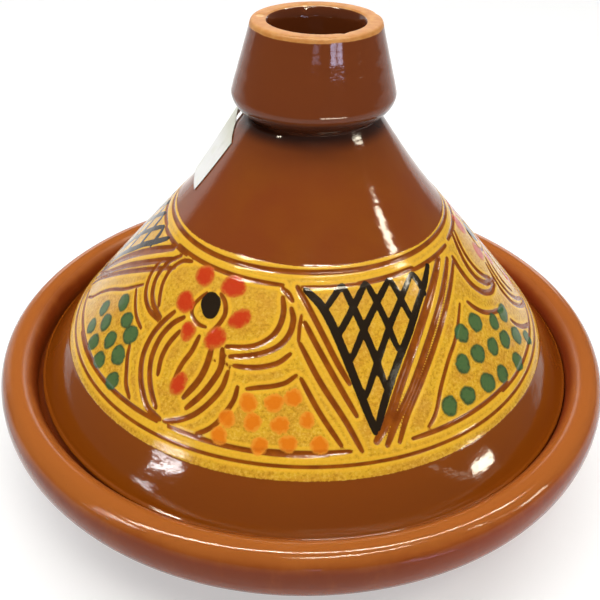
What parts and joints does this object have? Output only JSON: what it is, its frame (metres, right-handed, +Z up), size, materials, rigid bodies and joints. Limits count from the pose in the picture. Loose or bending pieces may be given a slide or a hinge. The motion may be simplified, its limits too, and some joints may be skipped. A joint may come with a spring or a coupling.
{
  "type": "tagine",
  "caption": "Shut clay tagine: a round dish with a rolled rim and ledge, and a conical lid with a hollow knob that rests on the ledge.",
  "frame": {"origin": "on the surface that the dish stands on, at the middle of its round foot", "axes": "+Z up along the axis on which the dish was turned; -Y towards the side that the picture shows; +X to the right in it"},
  "size_m": [0.3, 0.3, 0.2153],
  "materials": {
    "terracotta": "orange terracotta under a thin clear glaze, matt where the glaze ran thin on top of the rim",
    "glazed_brown_clay": "glossy chestnut glaze, with a carved and painted yellow band of flowers, lattice and dots round the cone",
    "white_paper": "blank white sticker, slightly creased"
  },
  "bodies": {
    "root": {"base_dish": "terracotta", "lid": "glazed_brown_clay", "paper_label": "white_paper"}
  },
  "joints": []
}
